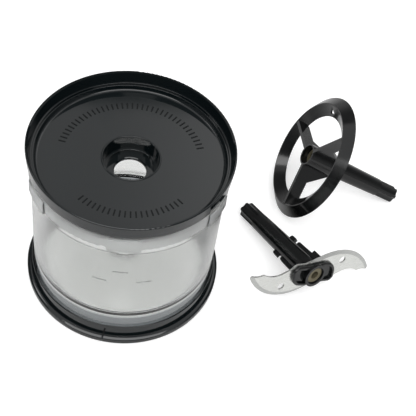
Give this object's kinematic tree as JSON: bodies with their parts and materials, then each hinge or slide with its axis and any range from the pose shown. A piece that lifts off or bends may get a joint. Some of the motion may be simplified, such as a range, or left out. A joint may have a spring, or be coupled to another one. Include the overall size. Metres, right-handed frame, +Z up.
{
  "type": "food chopper bowl set",
  "caption": "Clear chopping bowl on a black base ring with a drive-through lid, with a loose chopping blade and a loose whisking wheel, each on a splined shaft.",
  "frame": {"origin": "on the table, on the bowl's axis, at the middle of the base ring's opening", "axes": "+Z up along the bowl's axis, through the lid's drive hole; -Y is the front, where the fill marks are; the loose tools lie on the +X side"},
  "size_m": [0.2681, 0.1914, 0.1258],
  "materials": {
    "black_gloss": "moulded black plastic with a low gloss",
    "black_satin": "moulded black plastic, satin",
    "grip_rubber": "soft black elastomer, matt",
    "seal_rubber": "soft dark elastomer, matt",
    "clear_plastic": "clear moulded plastic, polished",
    "pin_steel": "turned stainless steel",
    "blade_steel": "stamped stainless steel, fine brushed, ground edge",
    "bush_brass": "sintered bronze, dull"
  },
  "bodies": {
    "base": {"base_ring": "black_gloss", "base_grip": "grip_rubber"},
    "bowl": {"bowl": "clear_plastic", "bowl_pin": "pin_steel"},
    "lid": {"lid": "black_gloss", "lid_seal": "seal_rubber"},
    "blade_tool": {"blade_shaft": "black_satin", "chopping_blade": "blade_steel", "blade_foot": "black_satin", "blade_lower_bush": "bush_brass", "blade_upper_bush": "bush_brass"},
    "whisk_tool": {"whisk_shaft": "black_satin", "whisk_wheel": "black_satin", "whisk_lower_bush": "bush_brass", "whisk_upper_bush": "bush_brass"}
  },
  "joints": [
    {"name": "bowl_lift", "type": "slide", "parent": "base", "child": "bowl", "axis": [0, 0, 1], "range_m": [0, 0.06]},
    {"name": "lid_lift", "type": "slide", "parent": "bowl", "child": "lid", "axis": [0, 0, 1], "range_m": [0, 0.06]},
    {"name": "blade_tool_lift", "type": "slide", "parent": "base", "child": "blade_tool", "axis": [0, 0, 1], "range_m": [0, 0.15]},
    {"name": "whisk_tool_lift", "type": "slide", "parent": "base", "child": "whisk_tool", "axis": [0, 0, 1], "range_m": [0, 0.15]}
  ]
}
